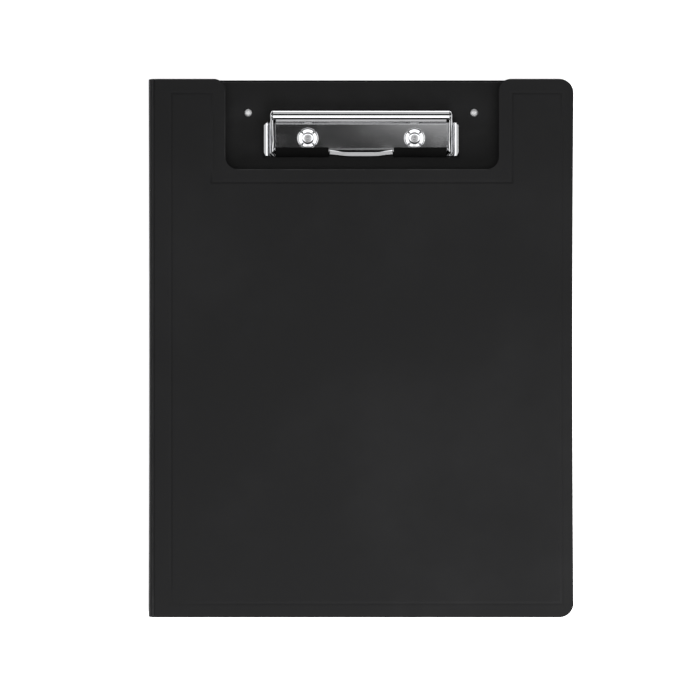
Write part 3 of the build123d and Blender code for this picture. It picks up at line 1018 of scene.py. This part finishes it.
def make_deck():
    """Deck, slope and rolled barrel in one strip, with skirts down the deck's sides."""
    mid = deck_top - STEEL / 2
    slope_end = deck_rear + SLOPE_RUN
    path = [
        (deck_front + STEEL / 2, board_top),
        (deck_front + STEEL / 2, mid),
        (deck_rear, mid),
        (slope_end, foot_mid),
    ]
    path += arc((pivot.y, pivot.z), BARREL_RADIUS - STEEL / 2, 270, 292, 44)
    half = DECK_HALF_WIDTH - STEEL / 2
    bm = bmesh.new()
    ribbon(bm, path, -half, half)
    skirt_rear = deck_rear - SKIRT_STOP
    cut(bm, (0, skirt_rear, 0), Y_AXIS)

    def at_deck_end(edge):
        first, second = (vert.co for vert in edge.verts)
        return (
            edge.is_boundary
            and abs(first.x - second.x) < 1e-6
            and max(first.y, second.y) < skirt_rear + 1e-6
            and min(first.z, second.z) > mid - 1e-6
        )

    deck_ends = [edge for edge in bm.edges if at_deck_end(edge)]
    made = bmesh.ops.extrude_edge_only(bm, edges=deck_ends)["geom"]
    for vert in verts_in(made):
        vert.co.z = board_top
    bmesh.ops.remove_doubles(bm, verts=bm.verts, dist=1e-6)
    for vert in bm.verts:
        if vert.co.y > slope_end + 0.2 * MM:
            vert.co.x *= BARREL_HALF_LENGTH / half
    bends = [
        edge
        for edge in sharp_edges(bm, 30)
        if edge.calc_face_angle(0) < radians(60)
        and max(vert.co.y for vert in edge.verts) < slope_end + 1e-6
    ]
    bevel_edges(bm, bends, DECK_BEND, segments=4)
    piece = finish_piece(
        "deck_and_barrel", bm, CLIP_CHROME, "back", ["clip_base"]
    )
    wall = give_thickness(piece, STEEL)
    wall.solidify_mode = "NON_MANIFOLD"
    wall.nonmanifold_thickness_mode = "CONSTRAINTS"
    wall.nonmanifold_boundary_mode = "FLAT"
    settle(piece)
    drill(piece, rivet_places[2:], DISH_RADIUS, board_top - DRILL_PAST, deck_top + DRILL_PAST)
    round_edges(piece, EDGE_ROUND, segments=2, angle=55).harden_normals = False
    settle(piece)
    piece.data.shade_smooth()
    piece.data.set_sharp_from_angle(angle=radians(20))


def make_dish(name, place):
    """A dished rivet seat: a small rolled lip, a steep rim, a shallow cone and a flat floor."""
    depth = deck_top - board_top
    floor = -depth + STEEL
    profile = [
        (HOLE_RADIUS, floor),
        (DISH_FLOOR_RADIUS - 0.05 * MM, floor),
        (DISH_FLOOR_RADIUS + 0.12 * MM, floor + 0.10 * MM),
        (DISH_FLOOR_RADIUS + 0.22 * MM, floor + 0.32 * MM),
        (DISH_FLOOR_RADIUS + 0.36 * MM, floor + 0.40 * MM),
        (DISH_RADIUS - 0.50 * MM, floor + 0.55 * MM),
        (DISH_RADIUS - 0.35 * MM, floor + 0.63 * MM),
        (DISH_RADIUS + 0.10 * MM, 0.03 * MM),
        (DISH_RADIUS + 0.24 * MM, 0.10 * MM),
        (DISH_RADIUS + 0.36 * MM, 0.10 * MM),
        (DISH_RADIUS + 0.56 * MM, 0.02 * MM),
        (DISH_RADIUS + 0.62 * MM, -0.06 * MM),
        (DISH_RADIUS + 0.30 * MM, -0.50 * MM),
        (DISH_RADIUS - 0.20 * MM, -1.10 * MM),
        (DISH_FLOOR_RADIUS + 0.9 * MM, -depth + 0.25 * MM),
        (DISH_FLOOR_RADIUS + 0.70 * MM, -depth),
        (HOLE_RADIUS, -depth),
        (HOLE_RADIUS, floor),
    ]
    bm = turned(profile, Vector((place[0], place[1], deck_top)), steps=80)
    for vert in bm.verts:
        aside = Vector((vert.co.x - place[0], vert.co.y - place[1]))
        off_diagonal = abs(atan2(aside.y, aside.x) % (pi / 2) - pi / 4)
        if off_diagonal < radians(2) and aside.length > DISH_RADIUS - 0.6 * MM:
            vert.co.z -= NOTCH_DEPTH
    piece = finish_piece(name, bm, CLIP_CHROME, "back")
    piece.data.set_sharp_from_angle(angle=radians(60))
    keep_flats_flat(piece)


def make_ears():
    """The feet, and the ears that stand on them: a wall whose top is bent inwards."""
    outer = base_high.x - STEEL / 2
    front = base_low.y
    rear = pivot.y - EAR_REAR_REACH
    top = base_high.z - STEEL * 0.6
    section = [
        (DECK_HALF_WIDTH - 0.2 * MM, foot_mid),
        (outer, foot_mid),
        (outer, top - EAR_LIP[1] - EAR_SLANT[1]),
        (outer - EAR_SLANT[0], top - EAR_LIP[1]),
        (outer - EAR_SLANT[0] - EAR_LIP[0], top),
    ]
    bm = bmesh.new()
    ribbon(bm, section, front, rear, along="Y", rows=2)
    foot_front = pivot.y - FOOT_FRONT_REACH
    cut(bm, (0, foot_front, 0), Y_AXIS)

    def before_foot(face):
        centre = face.calc_center_median()
        return centre.y < foot_front and centre.z < foot_mid + 1e-6

    spare = [face for face in bm.faces if before_foot(face)]
    bmesh.ops.delete(bm, geom=spare, context="FACES")
    cut(bm, (outer, rear - 2.2 * MM, top), Vector((1.0, 1.0, 0.3)), clear=True)
    cut(bm, (outer, front + 3.6 * MM, top), Vector((0.93, -0.36, 0.22)), clear=True)
    cut(bm, (0, front + 1.2 * MM, top), Vector((0, -6.4, 1.6)), clear=True)
    bevel_edges(bm, sharp_edges(bm, 15), EAR_BEND)
    mirrored(bm)
    piece = finish_piece("feet_and_ears", bm, CLIP_CHROME, "back")
    give_thickness(piece, STEEL)
    round_edges(piece, EDGE_ROUND, segments=3, angle=50)
    keep_flats_flat(piece)


make_deck()
for dish_name, dish_place in zip(("dish_left", "dish_right"), rivet_places[2:]):
    make_dish(dish_name, dish_place)
make_ears()


# Clip jaw

JAW_STEEL = 0.9 * MM
ARM_HALF_WIDTH = 55.2 * MM
EYE_RADIUS = 3.9 * MM
ARM_FRONT_REACH = 23.4 * MM
ARM_FRONT_HEIGHT = 4.3 * MM
ARM_BOTTOM = 1.4 * MM
CURL_REACH = 4.6 * MM
CURL_IN = 2.3 * MM
EYE_START = radians(112)
SHOULDER = (
    (0.0, 1.9 * MM, 0.0),
    (0.40 * MM, 1.0 * MM, 0.3),
    (1.00 * MM, 0.45 * MM, 1.0),
    (1.85 * MM, 0.375 * MM, 1.0),
)
SHOULDER_SPREAD = 0.45 * MM
ARM_STRAIGHT = 0.64
ARM_STATIONS = 34
TOE_SLOPE = radians(36.87)
TOE_LENGTH = 5.0 * MM
BAR_RUN = (0.95 * MM, 0.20 * MM)
TOE_REACH = 22.78 * MM
TOE_RISE = 1.56 * MM
TOE_HALF_WIDTH = 51.7 * MM
LIP_HALF_WIDTH = 18.9 * MM
LIP_BOW = 1.35 * MM
LIP_FLAT = 7.0 * MM
LIP_BAR = 1.1 * MM
LIP_COLUMNS = 36
LIP_ROOT = (0.75 * MM, -0.23 * MM)
LIP_FOOT = (-1.75 * MM, -0.95 * MM)
LIP_BEND = (-0.35 * MM, 0.13 * MM)
LIP_FACE = ((-1.85 * MM, 0.89 * MM), (-2.22 * MM, 1.07 * MM))
SOFT_ROUND = 0.2 * MM
GRIP_WALL = 0.8 * MM
GRIP_UNDERLAP = 2.5 * MM
GRIP_TOE = 0.9 * MM
GRIP_REAR = 1.1 * MM

arm_front = pivot.y - ARM_FRONT_REACH
arm_front_top = board_top + ARM_FRONT_HEIGHT
arm_rise = (pivot.z + EYE_RADIUS - arm_front_top) / ARM_FRONT_REACH


def eased(value):
    """A value held between 0 and 1, eased at both ends."""
    value = min(1.0, max(0.0, value))
    return value * value * (3 - 2 * value)


def chain(bm, points):
    """An open chain of edges through points."""
    verts = [bm.verts.new(point) for point in points]
    return [bm.edges.new(pair) for pair in zip(verts, verts[1:])]


def bridged(bm, chains):
    """Faces between each chain and the next."""
    for first, second in zip(chains, chains[1:]):
        bmesh.ops.bridge_loops(bm, edges=first + second)


def toe_point(along, out):
    """A (y, z) place on the sloping toe: along it from its front edge, and out of its face."""
    return (
        pivot.y - TOE_REACH + along * cos(TOE_SLOPE) - out * sin(TOE_SLOPE),
        board_top + TOE_RISE + along * sin(TOE_SLOPE) + out * cos(TOE_SLOPE),
    )


def arm_section(share):
    """An arm's section at a share of its length: wall, slanted shoulder and flat top edge.

    The wall stands straight along the jaw, then curls in behind the barrel's end and ends as
    the eye's round outline."""
    eye_front = pivot.y + EYE_RADIUS * cos(EYE_START)
    if share < ARM_STRAIGHT:
        y = arm_front + (eye_front - arm_front) * share / ARM_STRAIGHT
        top = arm_front_top + (y - arm_front) * arm_rise
    else:
        turn = EYE_START * (1 - (share - ARM_STRAIGHT) / (1 - ARM_STRAIGHT)) + 0.02
        y = pivot.y + EYE_RADIUS * cos(turn)
        top = pivot.z + EYE_RADIUS * sin(turn)
    below = EYE_RADIUS ** 2 - (y - pivot.y) ** 2
    bottom = board_top + ARM_BOTTOM
    if below > 0:
        bottom = min(bottom, pivot.z - sqrt(below)) if y < pivot.y else pivot.z - sqrt(below)
    curl_start = pivot.y - CURL_REACH
    curl = max(0.0, (y - curl_start) / (CURL_REACH + EYE_RADIUS))
    outer = ARM_HALF_WIDTH - JAW_STEEL / 2 - CURL_IN * (1 - sqrt(max(0.0, 1 - curl ** 2)))
    front_round = max(0.0, 1 - (y - arm_front) / (1.6 * MM))
    outer -= 0.9 * MM * front_round ** 2
    top -= 0.9 * MM * front_round ** 2
    room = max(0.0, min(1.0, (top - bottom) / (4.2 * MM)))
    fade = room * (1 - 0.75 * eased((y - pivot.y + 2.2 * MM) / (4.0 * MM)))
    spread = SHOULDER_SPREAD * eased(1 - (y - arm_front) / (20 * MM))
    points = [Vector((outer, y, bottom))]
    for inwards, down, spreads in SHOULDER:
        x = outer - (inwards + spreads * spread) * fade
        points.append(Vector((x, y, max(bottom + 0.02 * MM, top - down * fade))))
    return points


def make_arms():
    """The jaw's two arms, each folded to the toe by a slanting gusset at its front."""
    bm = bmesh.new()
    sections = [arm_section(step / ARM_STATIONS) for step in range(ARM_STATIONS + 1)]
    bridged(bm, [chain(bm, section) for section in sections])
    fold = next(section for section in sections if section[0].y > arm_front + 3.0 * MM)
    toe_end = [
        Vector((TOE_HALF_WIDTH - 0.1 * MM, *toe_point(TOE_LENGTH * share, 0)))
        for share in (0.18, 0.45, 0.72, 1.0)
    ]
    lowered = [point - Z_AXIS * 0.25 * MM for point in fold[1:]]
    middle_fold = [
        (a + b) / 2 + Vector((0.1, -0.35, 0.25)) * MM for a, b in zip(lowered, toe_end)
    ]
    bridged(bm, [chain(bm, lowered), chain(bm, middle_fold), chain(bm, toe_end)])
    mirrored(bm)
    piece = finish_piece("jaw_arms", bm, CLIP_CHROME, "jaw", ["clip_jaw"])
    give_thickness(piece, JAW_STEEL)
    round_edges(piece, EDGE_ROUND, segments=3, angle=60)
    keep_flats_flat(piece)


def make_toe():
    """The sloping steel strip across the front, narrowed to a bar behind the lip."""
    bm = bmesh.new()
    bend = Vector(toe_point(TOE_LENGTH - LIP_BAR, 0))
    rear = bend + Vector(BAR_RUN)
    ribbon(bm, [toe_point(0, 0), bend, rear], -TOE_HALF_WIDTH, TOE_HALF_WIDTH)
    for x in (-LIP_HALF_WIDTH, LIP_HALF_WIDTH):
        cut(bm, (x, 0, 0), X_AXIS)
    bar_place = Vector((0, *bend))
    along = Vector((0, cos(TOE_SLOPE), sin(TOE_SLOPE)))

    def before_bar(face):
        centre = face.calc_center_median()
        return abs(centre.x) < LIP_HALF_WIDTH and (centre - bar_place).dot(along) < 0

    spare = [face for face in bm.faces if before_bar(face)]
    bmesh.ops.delete(bm, geom=spare, context="FACES")
    piece = finish_piece("jaw_toe", bm, CLIP_CHROME, "jaw")
    give_thickness(piece, JAW_STEEL)
    round_edges(piece, EDGE_ROUND, segments=3, angle=50)
    keep_flats_flat(piece)


def make_lip():
    """The finger lip: a hollow in front of the bar, then a face that rises to a bowed edge."""
    bar = Vector((0, *toe_point(TOE_LENGTH - LIP_BAR, 0)))
    bm = bmesh.new()
    chains = []
    for column in range(LIP_COLUMNS + 1):
        x = LIP_HALF_WIDTH * (2 * column / LIP_COLUMNS - 1)
        bow = LIP_BOW * eased((abs(x) - LIP_FLAT) / (LIP_HALF_WIDTH - LIP_FLAT))
        lift = max(0.0, bow - 0.3 * MM) * 0.6
        root = bar + Vector((x, LIP_ROOT[0], LIP_ROOT[1] + lift / 2))
        foot = bar + Vector((x, LIP_FOOT[0] + bow * 0.8, LIP_FOOT[1] + lift))
        points = [root, root.lerp(foot, 0.5), foot, foot + Vector((0, *LIP_BEND))]
        points += [foot + Vector((0, run - bow * 0.05, rise)) for run, rise in LIP_FACE]
        chains.append(chain(bm, points))
    bridged(bm, chains)
    piece = finish_piece("finger_lip", bm, CLIP_CHROME, "jaw")
    give_thickness(piece, JAW_STEEL * 0.9)
    round_edges(piece, SOFT_ROUND, segments=4, angle=60)
    keep_flats_flat(piece)


def make_grip(name, node):
    """A rubber channel over the toe, one each side of the lip."""
    low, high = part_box(node)
    inside = JAW_STEEL / 2
    outside = inside + GRIP_WALL
    rear = TOE_LENGTH + GRIP_REAR
    ease = GRIP_WALL * 0.5
    corners = [
        (-GRIP_TOE, ease - outside),
        (-GRIP_TOE + ease, -outside),
        (GRIP_UNDERLAP, -outside),
        (GRIP_UNDERLAP, -inside),
        (0, -inside),
        (0, inside),
        (rear - GRIP_WALL * 0.3, inside),
        (rear, inside + ease),
        (rear - ease, outside),
        (-GRIP_TOE + ease, outside),
        (-GRIP_TOE, outside - ease),
    ]
    bm = bmesh.new()
    prism(bm, [toe_point(along, out) for along, out in corners], low.x, high.x, rows=6)
    piece = finish_piece(name, bm, GRIP_RUBBER, "jaw", [node])
    round_edges(piece, SOFT_ROUND, segments=3, angle=35)
    keep_flats_flat(piece)


make_arms()
make_toe()
make_lip()
for grip_side in ("left", "right"):
    make_grip(f"grip_{grip_side}", f"jaw_grip_{grip_side}")


# Rivets, washers, rod and springs

SHANK_RADIUS = 1.5 * MM
TUBE_BORE = 1.05 * MM
WASHER_RADIUS = 4.5 * MM
WASHER_EASE = 0.12 * MM
ROD_RADIUS = 1.55 * MM
ROD_HEAD_LENGTH = 0.8 * MM
COIL_INNER_RADIUS = 1.6 * MM
COIL_PITCH = 2.06
COIL_STEPS = 20


def make_rivet(piece_name, node, head, seat):
    """A turned rivet: its head's section, then the shank and the clenched tail."""
    low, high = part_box(node)
    radius = (high.x - low.x) / 2
    tail = [
        (SHANK_RADIUS, seat),
        (SHANK_RADIUS, low.z + 0.45 * MM),
        (radius * 0.96, low.z + 0.45 * MM),
        (radius, low.z + 0.3 * MM),
        (radius * 0.85, low.z + 0.04 * MM),
        (radius * 0.4, low.z),
        (0.0, low.z),
    ]
    bm = turned(head(radius, high.z) + tail, Vector((*middle(node), 0)))
    piece = finish_piece(piece_name, bm, RIVET_METAL, "back", [node])
    piece.data.set_sharp_from_angle(angle=radians(55))


def domed_head(radius, top):
    """The section of a board rivet's low domed head, from its middle to its seat."""
    return [
        (0.0, top),
        (radius * 0.35, top - 0.03 * MM),
        (radius * 0.65, top - 0.14 * MM),
        (radius * 0.88, top - 0.38 * MM),
        (radius * 0.98, top - 0.68 * MM),
        (radius, board_top + 0.1 * MM),
        (radius * 0.97, board_top),
    ]


def rolled_head(radius, top):
    """The section of a clip rivet's head: hollow in the middle, its mouth rolled over."""
    return [
        (0.0, top - 1.5 * MM),
        (TUBE_BORE * 0.7, top - 1.4 * MM),
        (TUBE_BORE, top - 1.1 * MM),
        (TUBE_BORE, top - 0.35 * MM),
        (TUBE_BORE + 0.2 * MM, top - 0.08 * MM),
        (TUBE_BORE + 0.5 * MM, top),
        (radius * 0.82, top - 0.1 * MM),
        (radius * 0.97, top - 0.35 * MM),
        (radius, top - 0.6 * MM),
        (radius * 0.95, board_top + STEEL),
    ]


def make_washers(kind):
    """The two washers under one kind of rivet's tails, in one piece as in the CAD model."""
    node = f"{kind}_rivet_washers"
    low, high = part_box(node)
    outer = WASHER_RADIUS
    ease = WASHER_EASE
    profile = [
        (HOLE_RADIUS, low.z + ease),
        (HOLE_RADIUS + ease, low.z),
        (outer - ease, low.z),
        (outer, low.z + ease),
        (outer, high.z - ease),
        (outer - ease, high.z),
        (HOLE_RADIUS + ease, high.z),
        (HOLE_RADIUS, high.z - ease),
        (HOLE_RADIUS, low.z + ease),
    ]
    bm = bmesh.new()
    for side in ("left", "right"):
        ring = turned(profile, Vector((*middle(f"{kind}_rivet_{side}"), 0)))
        mesh = bpy.data.meshes.new("ring")
        ring.to_mesh(mesh)
        ring.free()
        bm.from_mesh(mesh)
        bpy.data.meshes.remove(mesh)
    piece = finish_piece(f"{kind}_washers", bm, WASHER_STEEL, "back", [node])
    piece.data.set_sharp_from_angle(angle=radians(35))


def make_rod():
    """The pivot rod, its ends peened to low domes."""
    half = rod_high.x
    head = (rod_high.z - rod_low.z) / 2
    head_start = half - ROD_HEAD_LENGTH
    right = [
        (ROD_RADIUS, 0.0),
        (ROD_RADIUS, head_start),
        (head * 0.96, head_start),
        (head, head_start + 0.2 * MM),
        (head * 0.9, head_start + 0.5 * MM),
        (head * 0.5, half - 0.05 * MM),
        (0.0, half),
    ]
    left = [(r, -h) for r, h in reversed(right[1:])]
    bm = turned(left + right, pivot.copy(), axis=X_AXIS, steps=32)
    piece = finish_piece("peened_rod", bm, PIN_STEEL, "jaw", ["pivot_rod"])
    piece.data.set_sharp_from_angle(angle=radians(50))


def make_spring(side):
    """A close-wound torsion spring on the rod, made by turning a wire section as a screw."""
    node = f"torsion_spring_{side}"
    low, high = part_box(node)
    outer = (high.z - low.z) / 2
    wire = (outer - COIL_INNER_RADIUS) / 2 * 0.97
    turns = int((high.x - low.x - 2 * wire) / (COIL_PITCH * wire))
    bm = bmesh.new()
    mean = (outer + COIL_INNER_RADIUS) / 2
    made = bmesh.ops.create_circle(bm, cap_ends=False, segments=8, radius=wire)["verts"]
    for vert in made:
        vert.co = Vector((low.x + wire + vert.co.x, pivot.y + mean + vert.co.y, pivot.z))
    steps = turns * COIL_STEPS
    step_along = (high.x - low.x - 2 * wire) / steps
    bmesh.ops.spin(
        bm,
        geom=bm.verts[:] + bm.edges[:],
        cent=pivot,
        axis=X_AXIS,
        dvec=X_AXIS * step_along,
        angle=2 * pi * turns,
        steps=steps,
        use_merge=False,
    )
    bmesh.ops.holes_fill(bm, edges=[edge for edge in bm.edges if edge.is_boundary], sides=8)
    finish_piece(f"coil_{side}", bm, SPRING_STEEL, "back", [node])


for side_name in ("left", "right"):
    make_rivet(f"small_rivet_{side_name}", f"board_rivet_{side_name}", domed_head, board_top)
    make_rivet(
        f"tubular_rivet_{side_name}", f"clip_rivet_{side_name}", rolled_head, board_top + STEEL
    )
    make_spring(side_name)
for kind_name in ("board", "clip"):
    make_washers(kind_name)
make_rod()
